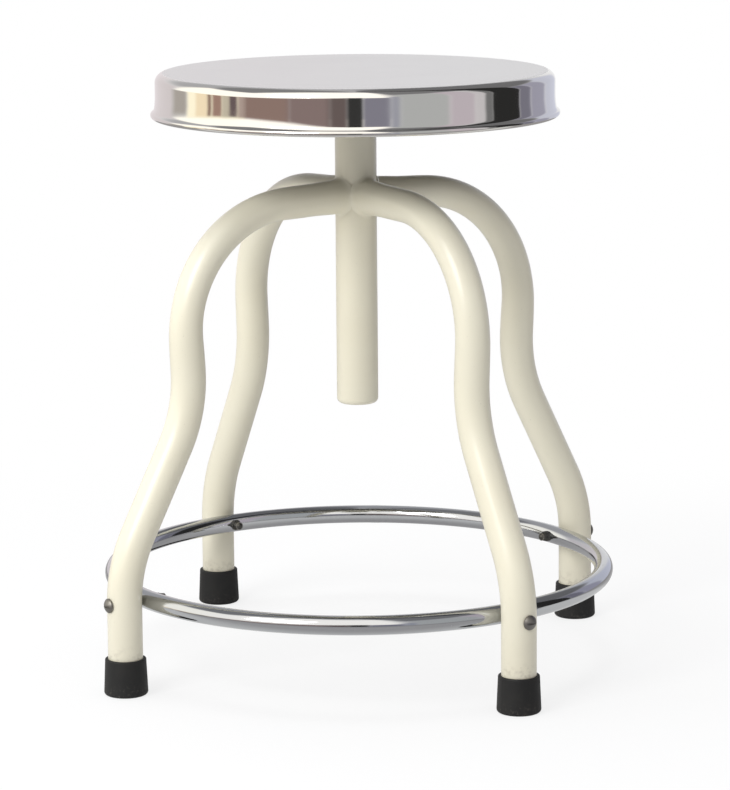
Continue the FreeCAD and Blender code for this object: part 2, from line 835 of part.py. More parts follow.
def make_seat_studs():
    length = d.plate_thickness + d.stud_washer_thickness + d.stud_nut_height + d.stud_proud
    stud = primitive("Part::Cylinder", "seat_stud", Radius=d.stud_diameter / 2.0, Height=length)
    at(stud, d.stud_circle / 2.0, ZERO, pan_underside - length)
    return group("seat_studs", stud, LEG_ANGLES)


def make_seat_washers():
    ring = washer(
        "seat_washer",
        d.stud_washer_diameter,
        d.stud_diameter + 2.0 * d.hole_gap,
        d.stud_washer_thickness,
        plate_bottom - d.stud_washer_thickness,
    )
    at(ring, d.stud_circle / 2.0)
    return group("seat_washers", ring, LEG_ANGLES)


def make_seat_nuts():
    nut = hex_nut("seat_nut", d.stud_nut_width, d.stud_nut_height, d.stud_diameter + 2.0 * d.snug_gap)
    at(nut, d.stud_circle / 2.0, ZERO, plate_bottom - d.stud_washer_thickness - d.stud_nut_height)
    return group("seat_nuts", nut, LEG_ANGLES)


# All the pieces, each named for its file
nodes = [make_column()]
nodes += [make_leg(name, angle) for name, angle in zip(LEG_NAMES, LEG_ANGLES)]
nodes += [make_leg_welds(), make_lift_nut(), make_thrust_washer()]
nodes += [make_foot_ring(), make_ring_screws(), make_ring_nuts()]
nodes += [make_shoe(name, angle) for name, angle in zip(LEG_NAMES, LEG_ANGLES)]
nodes += [make_shoe_discs(), make_lift_screw()]
nodes += [make_stop_washer(), make_stop_nut(), make_cotter_pin()]
nodes += [make_seat_hub(), make_hub_weld(), make_seat_plate(), make_seat_pan()]
nodes += [make_seat_studs(), make_seat_washers(), make_seat_nuts()]
doc.recompute()

# Nothing is written unless every object is sound
for thing in doc.Objects:
    if "Invalid" in thing.State or "Error" in thing.State:
        raise RuntimeError(f"{thing.Name} did not build: {thing.State}")
for node in nodes:
    if node.Shape.isNull() or not node.Shape.isValid() or not node.Shape.Solids:
        raise RuntimeError(f"{node.Name} has no sound shape")

os.makedirs("parts", exist_ok=True)
for node in nodes:
    node.Label = node.Name
    node.Shape.exportStep(f"parts/{node.Label}.step")
    box = node.Shape.BoundBox
    print(f"{node.Label:18s} {len(node.Shape.Solids)} solids, {node.Shape.Volume:9.0f} mm3,"
          f" z {box.ZMin:.2f} to {box.ZMax:.2f}")
print(f"seat top {seat_top.number:.2f}, leg junction {junction_height.number:.2f},"
      f" foot radius {foot_radius.number:.2f}, ring radius {ring_radius.number:.2f}")
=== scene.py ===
"""A revolving medical stool, finished and lit to match its photograph.

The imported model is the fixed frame: the pieces, their places and the way they move come from it.
This script gives the pieces their finished shapes and surfaces, in metres, in that same frame.
"""

import logging
import math
from dataclasses import dataclass
from enum import Enum
from functools import cache
from typing import Callable, Optional, Sequence, Union

import bmesh
import bpy
from mathutils import Matrix, Vector


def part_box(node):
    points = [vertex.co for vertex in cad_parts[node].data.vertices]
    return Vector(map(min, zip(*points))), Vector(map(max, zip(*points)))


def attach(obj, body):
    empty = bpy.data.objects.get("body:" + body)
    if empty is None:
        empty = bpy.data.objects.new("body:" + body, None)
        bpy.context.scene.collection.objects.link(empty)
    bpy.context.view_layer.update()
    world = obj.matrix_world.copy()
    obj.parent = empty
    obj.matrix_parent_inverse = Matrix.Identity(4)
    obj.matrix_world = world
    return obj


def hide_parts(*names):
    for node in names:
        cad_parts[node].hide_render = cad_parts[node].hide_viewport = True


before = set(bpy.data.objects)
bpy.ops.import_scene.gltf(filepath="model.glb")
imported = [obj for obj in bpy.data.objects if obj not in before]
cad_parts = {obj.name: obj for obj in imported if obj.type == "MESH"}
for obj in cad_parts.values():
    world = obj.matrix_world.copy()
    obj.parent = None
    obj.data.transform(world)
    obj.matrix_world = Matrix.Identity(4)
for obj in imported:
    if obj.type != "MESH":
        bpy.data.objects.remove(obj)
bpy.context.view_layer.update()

LOG = logging.getLogger("medical_stool")

MM = 0.001
SHARP_ANGLE = 40.0
RIM_CORNER = 7.25 * MM
UNMOVED = Matrix.Identity(4).freeze()
LEGS = {"rear_right": 45.0, "rear_left": 135.0, "front_left": 225.0, "front_right": 315.0}

Colour = tuple[float, float, float]
Point = tuple[float, float]
Inputs = dict[Union[str, int], object]
Swell = Callable[[float, float], float]

WHITE: Colour = (1.0, 1.0, 1.0)


class Body(Enum):
    """The bodies of the frame that new pieces ride on."""

    FRAME = "frame"
    SEAT = "seat"


class Slot(Enum):
    """The record's material slots."""

    PAINT = "cream_paint"
    STAINLESS = "polished_stainless"
    CHROME = "chrome_plate"
    RUBBER = "black_rubber"
    ZINC = "zinc_fastener"
    STEEL = "screw_steel"
    NYLON = "white_nylon"


# Shader maths


class Field:
    """One output of a node, with arithmetic that adds Math nodes."""

    def __init__(self, graph: "Graph", socket: bpy.types.NodeSocket) -> None:
        """Keeps the socket and the graph that it belongs to."""
        self.graph = graph
        self.socket = socket

    def __add__(self, other: "Number") -> "Field":
        """Adds a number or a field."""
        return self.graph.math("ADD", self, other)

    __radd__ = __add__

    def __sub__(self, other: "Number") -> "Field":
        """Takes a number or a field away."""
        return self.graph.math("SUBTRACT", self, other)

    def __rsub__(self, other: "Number") -> "Field":
        """Takes the field away from a number."""
        return self.graph.math("SUBTRACT", other, self)

    def __mul__(self, other: "Number") -> "Field":
        """Multiplies by a number or a field."""
        return self.graph.math("MULTIPLY", self, other)

    __rmul__ = __mul__

    def __truediv__(self, other: "Number") -> "Field":
        """Divides by a number or a field."""
        return self.graph.math("DIVIDE", self, other)

    def __rtruediv__(self, other: "Number") -> "Field":
        """Divides a number by the field."""
        return self.graph.math("DIVIDE", other, self)

    def rise(self, low: "Number", high: "Number") -> "Field":
        """A smooth step.

        Args:
            low: Where the step is still 0.
            high: Where the step has reached 1.

        Returns:
            A field from 0 to 1.
        """
        settings = {"interpolation_type": "SMOOTHSTEP"}
        inputs = {"Value": self, "From Min": low, "From Max": high}
        return self.graph.node("ShaderNodeMapRange", settings, inputs)

    def band(self, low: "Number", high: "Number", soft: float) -> "Field":
        """A smooth bar that is 1 between two values and 0 outside them.

        Args:
            low: Where the bar starts.
            high: Where the bar ends.
            soft: Half the width of each of its edges.

        Returns:
            A field from 0 to 1.
        """
        return self.rise(low - soft, low + soft) * (1 - self.rise(high - soft, high + soft))


Number = Union[Field, float]
Tint = Union[Field, Colour]


class Graph:
    """A node tree that is filled through one method."""

    def __init__(self, owner: Union[bpy.types.Material, bpy.types.World]) -> None:
        """Empties the tree of a material or a world."""
        owner.use_nodes = True
        self.tree = owner.node_tree
        self.tree.nodes.clear()

    def node(
        self,
        kind: str,
        settings: Optional[dict[str, object]] = None,
        inputs: Optional[Inputs] = None,
        output: Union[str, int] = 0,
    ) -> Field:
        """Adds one node.

        Args:
            kind: The node's type.
            settings: Its properties, which are set first.
            inputs: A value or a field for each named or numbered socket.
            output: The socket that is wanted.

        Returns:
            That socket as a field.
        """
        made = self.tree.nodes.new(kind)
        for name, value in (settings or {}).items():
            setattr(made, name, value)
        for name, value in (inputs or {}).items():
            if isinstance(value, Field):
                self.tree.links.new(value.socket, made.inputs[name])
            else:
                made.inputs[name].default_value = value
        return Field(self, made.outputs[output])

    def math(self, operation: str, *values: Number) -> Field:
        """Adds a Math node of one operation on the given values."""
        return self.node("ShaderNodeMath", {"operation": operation}, dict(enumerate(values)))

    def place(self) -> Field:
        """The place on the piece, in metres, in the frame at rest."""
        return self.node("ShaderNodeTexCoord", output="Object")

    def split(self, vector: Field) -> tuple[Field, Field, Field]:
        """The three parts of a vector."""
        first = self.node("ShaderNodeSeparateXYZ", inputs={0: vector})
        return tuple(Field(self, socket) for socket in first.socket.node.outputs)

    def along(self, vector: Field, way: Sequence[float]) -> Field:
        """How far a vector reaches in a fixed direction."""
        settings = {"operation": "DOT_PRODUCT"}
        return self.node("ShaderNodeVectorMath", settings, {0: vector, 1: way}, 1)

    def join(self, x: Number, y: Number, z: Number) -> Field:
        """A vector from its three parts."""
        return self.node("ShaderNodeCombineXYZ", inputs={0: x, 1: y, 2: z})

    def round_axis(self) -> tuple[Field, Field, Field]:
        """The distance from the column's axis, the angle round it, and the height."""
        x, y, z = self.split(self.place())
        reach = self.math("SQRT", x * x + y * y)
        return reach, self.math("ARCTAN2", y, x), z

    def noise(
        self, vector: Field, scale: float = 1.0, detail: float = 2.0, rough: float = 0.5
    ) -> Field:
        """A soft random pattern.

        Args:
            vector: Where it is read.
            scale: How many features there are in a metre.
            detail: How many finer layers it has.
            rough: How strong the finer layers are.

        Returns:
            A field about 0.5.
        """
        inputs = {"Vector": vector, "Scale": scale, "Detail": detail, "Roughness": rough}
        return self.node("ShaderNodeTexNoise", inputs=inputs)

    def mix(self, factor: Number, first: Tint, second: Tint) -> Field:
        """A colour between two.

        Args:
            factor: 0 for the first colour, 1 for the second.
            first: A colour.
            second: Another colour.

        Returns:
            The colour.
        """
        inputs = {0: factor, 6: paint_value(first), 7: paint_value(second)}
        return self.node("ShaderNodeMix", {"data_type": "RGBA"}, inputs, 2)

    def bump(self, height: Field, depth: float, strength: float) -> Field:
        """A normal from a height.

        Args:
            height: A field from 0 to 1.
            depth: What a height of 1 stands for, in metres.
            strength: How much of it shows.

        Returns:
            The normal.
        """
        inputs = {"Height": height, "Distance": depth, "Strength": strength}
        return self.node("ShaderNodeBump", inputs=inputs)

    def finish(self, shader: Field, kind: str = "ShaderNodeOutputMaterial") -> None:
        """Sends a shader to the tree's output."""
        out = self.tree.nodes.new(kind)
        self.tree.links.new(shader.socket, out.inputs["Surface"])


def paint_value(colour: Tint) -> object:
    """A field as it is, or a colour with the fourth number that a socket needs."""
    return colour if isinstance(colour, Field) else (*colour, 1.0)


# Finishes


@dataclass(frozen=True)
class Finish:
    """What every finish has: a name, a slot and a material that is made once."""

    name: str
    slot: Slot

    def shade(self, graph: Graph) -> Inputs:
        """Fills the graph and gives the inputs of the surface shader."""
        raise NotImplementedError

    @cache
    def material(self) -> bpy.types.Material:
        """The finish as a material, which all its pieces share."""
        made = bpy.data.materials.new(self.name)
        graph = Graph(made)
        graph.finish(graph.node("ShaderNodeBsdfPrincipled", inputs=self.shade(graph)))
        return made


@dataclass(frozen=True)
class PowderCoat(Finish):
    """Semi-gloss cream powder coat on steel tube."""

    name: str = "cream_powder_coat"
    slot: Slot = Slot.PAINT
    colour: Colour = (0.79, 0.753, 0.605)
    thin: Colour = (0.72, 0.665, 0.505)
    # The colour of the rubbing and specks, and of the painted shade near the floor.
    grime_and_shade: Colour = (0.36, 0.32, 0.25)
    gloss: float = 0.31
    shoe_top: float = 27.0 * MM
    rubbed_height: float = 14.0 * MM
    # How far above the shoe tops the painted shade reaches.
    shade_height: float = 80.0 * MM
    cloudiness: float = 0.35
    floor_shade_share: float = 0.16
    # How strong the painted shade near the floor is.
    rubbing: float = 0.4
    speckling: float = 0.3
    peel_depth: float = 0.05 * MM

    def shade(self, graph: Graph) -> Inputs:
        """Orange peel, cloudy thickness, rubbing near the shoes, specks, and painted shade that
        darkens the paint towards the floor.
        """
        place = graph.place()
        height = graph.split(place)[2]
        cloud = graph.noise(place, scale=14.0, detail=3.0)
        peel = graph.noise(place, scale=620.0, detail=2.0)
        specks = graph.noise(place, scale=950.0, detail=1.0).rise(0.73, 0.8)
        low = 1 - height.rise(self.shoe_top, self.shoe_top + self.rubbed_height)
        rubbed = low * graph.noise(place, scale=260.0, detail=3.0).rise(0.45, 0.75)
        # Painted shade: the paint darkens smoothly towards the floor over the lowest stretch of
        # each leg.
        floor_shade = 1 - height.rise(self.shoe_top, self.shoe_top + self.shade_height)
        colour = graph.mix(cloud.rise(0.3, 0.75) * self.cloudiness, self.colour, self.thin)
        marks = floor_shade * self.floor_shade_share + rubbed * self.rubbing + specks * self.speckling
        return {
            "Base Color": graph.mix(marks, colour, self.grime_and_shade),
            "Roughness": self.gloss + cloud * 0.12 + rubbed * 0.2,
            "Coat Weight": 0.25,
            "Coat Roughness": 0.2,
            "Normal": graph.bump(peel, self.peel_depth, 0.35),
        }


@dataclass(frozen=True)
class PolishedStainless(Finish):
    """Stainless sheet, satin on top, polished bright round the rim and left dull underneath."""

    name: str = "spun_stainless"
    slot: Slot = Slot.STAINLESS
    colour: Colour = (0.68, 0.665, 0.64)
    brushed: Colour = (0.91, 0.905, 0.9)
    dull: Colour = (0.83, 0.825, 0.82)
    underside: Colour = (0.2, 0.195, 0.188)
    satin: float = 0.34
    haze: float = 0.11
    bright: float = 0.045
    top: float = 441.57 * MM
    satin_start: float = 0.06 * RIM_CORNER
    satin_full: float = 0.005 * RIM_CORNER
    under_start: float = 9.0 * MM
    under_full: float = 8.0 * MM
    relief_depth: float = 0.012 * MM

    def shade(self, graph: Graph) -> Inputs:
        """Brushed rings on top, faint polishing lines, dents and smears on the rim, dull below."""
        reach, angle, height = graph.round_axis()
        down = graph.along(graph.node("ShaderNodeNewGeometry", output=1), (0.0, 0.0, -1.0))
        roofed = height.rise(self.top - self.under_start, self.top - self.under_full)
        under = down.rise(0.3, 0.7) * roofed
        on_top = height.rise(self.top - self.satin_start, self.top - self.satin_full)
        rings = graph.noise(graph.join(reach * 2600.0, angle * 3.0, 0.0), detail=3.0, rough=0.6)
        lines = graph.noise(graph.join(height * 4200.0, angle * 2.2, reach * 40.0), detail=2.0)
        smear = graph.noise(graph.place(), scale=34.0, detail=4.0, rough=0.6)
        cloud = graph.noise(graph.join(reach * 22.0, angle * 0.8, 0.0), detail=2.0)
        polish = (1 - on_top) * (lines * 0.025 + smear.rise(0.5, 0.8) * 0.05)
        rough = self.bright + on_top * (self.satin - self.bright) + polish
        rough = rough + on_top * rings * 0.1 + under * 0.4
        satin = graph.mix(rings * 0.5 + cloud * 0.5, self.brushed, self.dull)
        outside = graph.mix(on_top, self.colour, satin)
        mill = graph.mix(smear * 0.2, self.underside, self.colour)
        dents = graph.noise(graph.place(), scale=75.0, detail=1.0)
        relief = on_top * rings + (1 - on_top) * (lines * 0.12 + dents * 1.6)
        return {
            "Base Color": graph.mix(under, outside, mill),
            "Metallic": 1 - on_top * self.haze,
            "Roughness": rough,
            "Normal": graph.bump(relief, self.relief_depth, 0.3),
        }


@dataclass(frozen=True)
class ChromePlate(Finish):
    """Bright plating on the foot ring, a little scuffed by shoes."""

    name: str = "bright_chrome"
    slot: Slot = Slot.CHROME
    colour: Colour = (0.5, 0.51, 0.525)
    scuffed: Colour = (0.4, 0.4, 0.4)
    bright: float = 0.06
    height: float = 67.5 * MM

    def shade(self, graph: Graph) -> Inputs:
        """Drawing lines round the ring, pin-head pits and scuffs along its upper side."""
        reach, angle, height = graph.round_axis()
        drawn = graph.noise(graph.join(reach * 1800.0, angle * 5.0, height * 1800.0), detail=2.0)
        pits = graph.noise(graph.place(), scale=1500.0, detail=1.0).rise(0.76, 0.82)
        upper = (height - self.height).rise(1.0 * MM, 6.0 * MM)
        streaks = graph.join(reach * 500.0, angle * 16.0, 0.0)
        scuffs = (upper * graph.noise(streaks, detail=4.0, rough=0.65)).rise(0.52, 0.8)
        return {
            "Base Color": graph.mix(scuffs * 0.5 + pits * 0.6, self.colour, self.scuffed),
            "Metallic": 1.0,
            "Roughness": self.bright + drawn * 0.05 + scuffs * 0.14 + pits * 0.3,
            "Normal": graph.bump(drawn * 0.4 - pits, 0.02 * MM, 0.2),
        }


@dataclass(frozen=True)
class MouldedRubber(Finish):
    """Black rubber from a mould, dusty near the floor."""

    name: str = "moulded_rubber"
    slot: Slot = Slot.RUBBER
    colour: Colour = (0.01, 0.01, 0.01)
    dust: Colour = (0.11, 0.1, 0.085)
    rough: float = 0.58

    def shade(self, graph: Graph) -> Inputs:
        """A fine mould grain, bloom in patches and dust that thins upwards."""
        place = graph.place()
        height = graph.split(place)[2]
        grain = graph.noise(place, scale=1400.0, detail=2.0)
        bloom = graph.noise(place, scale=90.0, detail=3.0).rise(0.4, 0.75)
        low = 1 - height.rise(0.0, 12 * MM)
        dusty = low * graph.noise(place, scale=420.0, detail=4.0, rough=0.65).rise(0.5, 0.72)
        return {
            "Base Color": graph.mix(dusty * 0.45 + bloom * 0.05, self.colour, self.dust),
            "Roughness": self.rough + bloom * 0.1 + dusty * 0.15,
            "Specular IOR Level": 0.3,
            "Normal": graph.bump(grain, 0.06 * MM, 0.4),
        }


@dataclass(frozen=True)
class ZincPlate(Finish):
    """Zinc-plated screws, nuts and washers."""

    name: str = "zinc_plate"
    slot: Slot = Slot.ZINC
    colour: Colour = (0.56, 0.56, 0.55)
    yellowed: Colour = (0.5, 0.46, 0.36)
    rough: float = 0.3

    def shade(self, graph: Graph) -> Inputs:
        """A spangled plating that has yellowed in patches."""
        place = graph.place()
        spangle = graph.noise(place, scale=700.0, detail=2.0)
        patches = graph.noise(place, scale=130.0, detail=3.0).rise(0.42, 0.7)
        return {
            "Base Color": graph.mix(patches * 0.5 + spangle * 0.15, self.colour, self.yellowed),
            "Metallic": 1.0,
            "Roughness": self.rough + spangle * 0.15,
            "Normal": graph.bump(spangle, 0.02 * MM, 0.3),
        }


@dataclass(frozen=True)
class MachinedSteel(Finish):
    """Turned steel with a film of oil."""

    name: str = "machined_steel"
    slot: Slot = Slot.STEEL
    colour: Colour = (0.5, 0.5, 0.49)
    oiled: Colour = (0.3, 0.28, 0.24)
    rough: float = 0.24

    def shade(self, graph: Graph) -> Inputs:
        """Turning marks along the axis, and darker oil where it gathers."""
        reach, angle, height = graph.round_axis()
        turning = graph.noise(graph.join(height * 3800.0, angle * 1.5, reach * 3800.0), detail=2.0)
        oil = graph.noise(graph.place(), scale=120.0, detail=3.0).rise(0.4, 0.7)
        root = 1 - reach.rise(7.4 * MM, 9.6 * MM)
        return {
            "Base Color": graph.mix(oil * 0.3 + root * 0.35, self.colour, self.oiled),
            "Metallic": 1.0,
            "Roughness": self.rough + turning * 0.16 - oil * 0.06,
            "Normal": graph.bump(turning, 0.02 * MM, 0.3),
        }


@dataclass(frozen=True)
class TurnedNylon(Finish):
    """Natural nylon, turned, with a little grease worked in."""

    name: str = "turned_nylon"
    slot: Slot = Slot.NYLON
    colour: Colour = (0.8, 0.785, 0.73)
    greased: Colour = (0.46, 0.42, 0.33)
    rough: float = 0.42

    def shade(self, graph: Graph) -> Inputs:
        """Turning lines and streaks of grease round the washer."""
        reach, angle, height = graph.round_axis()
        lines = graph.noise(graph.join(reach * 3000.0, angle * 2.0, height * 3000.0), detail=2.0)
        grease = graph.noise(graph.place(), scale=160.0, detail=3.0).rise(0.5, 0.8)
        return {
            "Base Color": graph.mix(grease * 0.5, self.colour, self.greased),
            "Roughness": self.rough + lines * 0.12,
            "Normal": graph.bump(lines, 0.03 * MM, 0.3),
        }


PAINT = PowderCoat()
STAINLESS = PolishedStainless()
CHROME = ChromePlate()
RUBBER = MouldedRubber()
ZINC = ZincPlate()
DULL_ZINC = ZincPlate(
    "dulled_zinc", colour=(0.23, 0.222, 0.21), yellowed=(0.18, 0.165, 0.135), rough=0.4
)
# Near-black zinc for the ring's nuts: painted shade, so that they show as dark spots beside the
# legs.
SHADED_ZINC = ZincPlate(
    "shaded_zinc", colour=(0.085, 0.085, 0.082), yellowed=(0.07, 0.063, 0.05), rough=0.45
)
STEEL = MachinedSteel()
NYLON = TurnedNylon()


# Shapes


class Outline:
    """The section of a turned piece: corners by reach and height, each with its own rounding."""

    def __init__(self, support: float = 0.4 * MM, step: float = 7.5) -> None:
        """Starts an empty outline.

        Args:
            support: How far from a rounding a straight run gets a point, to keep it flat.
            step: The turn between two points of a rounding, in degrees.
        """
        self.support = support
        self.step = math.radians(step)
        self.corners: list[tuple[Vector, float]] = []

    def to(self, reach: float, height: float, rounding: float = 0.0) -> "Outline":
        """Adds a corner and gives the outline back."""
        self.corners.append((Vector((reach, height)), rounding))
        return self

    def _round(self, before: Vector, corner: Vector, after: Vector, radius: float) -> list[Vector]:
        """The points of one rounded corner, with a support point at each end."""
        into, out = (corner - before).normalized(), (after - corner).normalized()
        turn = math.atan2(into.x * out.y - into.y * out.x, into.dot(out))
        if radius == 0.0 or abs(turn) < 1e-6:
            return [corner]
        back = radius * math.tan(abs(turn) / 2)
        side = math.copysign(1.0, turn)
        centre = corner - into * back + Vector((-into.y, into.x)) * radius * side
        spoke = corner - into * back - centre
        count = max(2, round(abs(turn) / self.step))
        points = [centre + Matrix.Rotation(turn * i / count, 2) @ spoke for i in range(count + 1)]
        lead = min(self.support, 0.4 * max(0.0, (corner - before).length - back))
        trail = min(self.support, 0.4 * max(0.0, (after - corner).length - back))
        return [points[0] - into * lead, *points, points[-1] + out * trail]

    def points(self, closed: bool = False) -> list[Point]:
        """All points of the outline in order.

        Args:
            closed: Whether the last corner runs back to the first.

        Returns:
            Reach and height of each point.
        """
        found: list[Vector] = []
        last = len(self.corners) - 1
        for i, (corner, radius) in enumerate(self.corners):
            if not closed and i in (0, last):
                found.append(corner)
                continue
            before = self.corners[i - 1][0]
            after = self.corners[(i + 1) % (last + 1)][0]
            found.extend(self._round(before, corner, after, radius))
        return [(p.x, p.y) for p in found]


class TubePath:
    """The centreline of a bent tube in its own upright plane, drawn run by run.

    Two stations of a bend are about step degrees apart.
    """

    step = 2.5

    def __init__(self, reach: float, height: float, heading: float) -> None:
        """Starts at a point, heading outwards.

        Args:
            reach: How far out the path starts.
            height: How high the path starts.
            heading: How far above the level it heads, in radians.
        """
        self.at = Vector((reach, height))
        self.heading = heading
        self.stations: list[tuple[Vector, float]] = [(self.at.copy(), heading)]

    def _ahead(self) -> Vector:
        """The direction of travel."""
        return Vector((math.cos(self.heading), math.sin(self.heading)))

    def run(self, length: float, spacing: float = 12 * MM) -> "TubePath":
        """Goes straight on for a length, with stations about spacing apart."""
        count = max(1, round(length / spacing))
        for _ in range(count):
            self.at = self.at + self._ahead() * (length / count)
            self.stations.append((self.at.copy(), self.heading))
        return self

    def bend(self, radius: float, turn: float) -> "TubePath":
        """Turns by an angle in degrees, upwards if it is positive, on an arc of a radius.

        Args:
            radius: The arc's radius.
            turn: The angle.

        Returns:
            The path itself.
        """
        count = max(2, round(abs(turn) / self.step))
        share = math.radians(turn) / count
        chord = 2 * radius * math.sin(abs(share) / 2)
        for _ in range(count):
            self.heading += share / 2
            self.at = self.at + self._ahead() * chord
            self.heading += share / 2
            self.stations.append((self.at.copy(), self.heading))
        return self


def arc(centre: Point, radius: float, start: float, end: float, count: int) -> list[Point]:
    """Points along part of a circle.

    Args:
        centre: Reach and height of its centre.
        radius: Its radius.
        start: The angle of the first point, in radians.
        end: The angle of the last point.
        count: How many chords there are.

    Returns:
        Reach and height of each point.
    """
    turns = [start + (end - start) * i / count for i in range(count + 1)]
    return [(centre[0] + radius * math.cos(t), centre[1] + radius * math.sin(t)) for t in turns]


def full_turn(count: int) -> list[float]:
    """Even turns all the way round, in radians."""
    return [2 * math.pi * i / count for i in range(count)]


def ease(value: float, low: float, high: float) -> float:
    """A smooth step from 0 at low to 1 at high."""
    share = min(1.0, max(0.0, (value - low) / (high - low)))
    return share * share * (3 - 2 * share)


def about_axis(angle: float) -> Matrix:
    """A turn about the column's axis, in degrees."""
    return Matrix.Rotation(math.radians(angle), 4, "Z")


def in_scene(name: str, data: bpy.types.ID) -> bpy.types.Object:
    """Puts a mesh, lamp or camera in the scene and gives its object."""
    made = bpy.data.objects.new(name, data)
    bpy.context.scene.collection.objects.link(made)
    return made


def loft(name: str, rings: Sequence[Sequence[Vector]], wrap: bool = False) -> bpy.types.Object:
    """A skin over rings of points.

    Args:
        name: The piece's name.
        rings: Closed loops with the same number of points, or a single point for a tip.
        wrap: Whether the last ring joins the first.

    Returns:
        The new piece, smooth, with its faces turned outwards.
    """
    mesh = bpy.data.meshes.new(name)
    shape = bmesh.new()
    loops = [[shape.verts.new(point) for point in ring] for ring in rings]
    pairs = list(zip(loops, loops[1:]))
    if wrap:
        pairs.append((loops[-1], loops[0]))
    for lower, upper in pairs:
        count = max(len(lower), len(upper))
        for i in range(count):
            j = (i + 1) % count
            corners = [lower[i % len(lower)], lower[j % len(lower)]]
            corners += [upper[j % len(upper)], upper[i % len(upper)]]
            shape.faces.new(list(dict.fromkeys(corners)))
    bmesh.ops.recalc_face_normals(shape, faces=shape.faces)
    shape.to_mesh(mesh)
    shape.free()
    mesh.polygons.foreach_set("use_smooth", [True] * len(mesh.polygons))
    mesh.set_sharp_from_angle(angle=math.radians(SHARP_ANGLE))
    return in_scene(name, mesh)


def no_swell(angle: float, height: float) -> float:
    """A turned piece that is round all over."""
    return 0.0


def lathe(
    name: str,
    outline: Sequence[Point],
    steps: int,
    wrap: bool = False,
    swell: Swell = no_swell,
) -> bpy.types.Object:
    """A piece turned about the column's axis.

    Args:
        name: The piece's name.
        outline: Reach and height of each point of its section.
        steps: How many sides it has.
        wrap: Whether the outline is closed away from the axis.
        swell: What is added to the reach at an angle and a height.

    Returns:
        The new piece.
    """
    rings: list[list[Vector]] = []
    for reach, height in outline:
        if reach < 1e-9:
            rings.append([Vector((0.0, 0.0, height))])
            continue
        ring = []
        for angle in full_turn(steps):
            out = reach + swell(angle, height)
            ring.append(Vector((out * math.cos(angle), out * math.sin(angle), height)))
        rings.append(ring)
    return loft(name, rings, wrap)


def bead(name: str, line: Sequence[Vector], radius: float, ripple: float) -> bpy.types.Object:
    """A weld run: a round bead along a level loop, with the ripples that its pools leave.

    Args:
        name: The piece's name.
        line: The points that the bead follows, back to its start.
        radius: Half its thickness.
        ripple: The length of one ripple.

    Returns:
        The new piece.
    """
    sides = 12
    dip = 0.12
    along = 0.0
    rings: list[list[Vector]] = []
    for i, point in enumerate(line):
        ahead = (line[(i + 1) % len(line)] - line[i - 1]).normalized()
        side = ahead.cross(Vector((0, 0, 1))).normalized()
        over = side.cross(ahead)
        along += (point - line[i - 1]).length if i > 0 else 0.0
        pool = abs(math.sin(math.pi * along / ripple))
        thick = radius * (1 - dip + dip * pool)
        spokes = [side * math.cos(turn) + over * math.sin(turn) for turn in full_turn(sides)]
        rings.append([point + spoke * thick for spoke in spokes])
    return loft(name, rings, True)


# Sub-assemblies


class SubAssembly:
    """What every sub-assembly does with a piece: it rides, takes a finish and is reported."""

    def add(self, piece: bpy.types.Object, body: Body, finish: Finish, *nodes: str) -> None:
        """Puts a new piece on a body in place of its nodes.

        Args:
            piece: The new piece, in place.
            body: What it moves with.
            finish: Its surface.
            nodes: The solids that it stands for.
        """
        piece.data.materials.append(finish.material())
        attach(piece, body.value)
        if nodes:
            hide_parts(*nodes)
        LOG.info("%s: %d faces, %s", piece.name, len(piece.data.polygons), finish.name)

    def add_at_legs(
        self,
        name: str,
        rings: Sequence[Sequence[Vector]],
        wrap: bool,
        finish: Finish,
        node: str,
        place: Matrix = UNMOVED,
    ) -> None:
        """Puts the same piece on the frame at each leg.

        Args:
            name: Its name, which the leg's name is added to.
            rings: Its skin, at a leg that points along X.
            wrap: Whether the last ring joins the first.
            finish: Its surface.
            node: The solid that it stands for, with {leg} for the leg's name.
            place: How the skin is moved first.
        """
        for leg, angle in LEGS.items():
            piece = loft(f"{name}_{leg}", rings, wrap)
            piece.data.transform(about_axis(angle) @ place)
            self.add(piece, Body.FRAME, finish, node.format(leg=leg))

    def keep(self, finish: Finish, *nodes: str) -> None:
        """Gives solids that stay as they are a better surface.

        Args:
            finish: Their surface.
            nodes: Their names.
        """
        for node in nodes:
            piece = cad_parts[node]
            piece.data.materials.clear()
            piece.data.materials.append(finish.material())
            LOG.info("%s: kept, %s", node, finish.name)


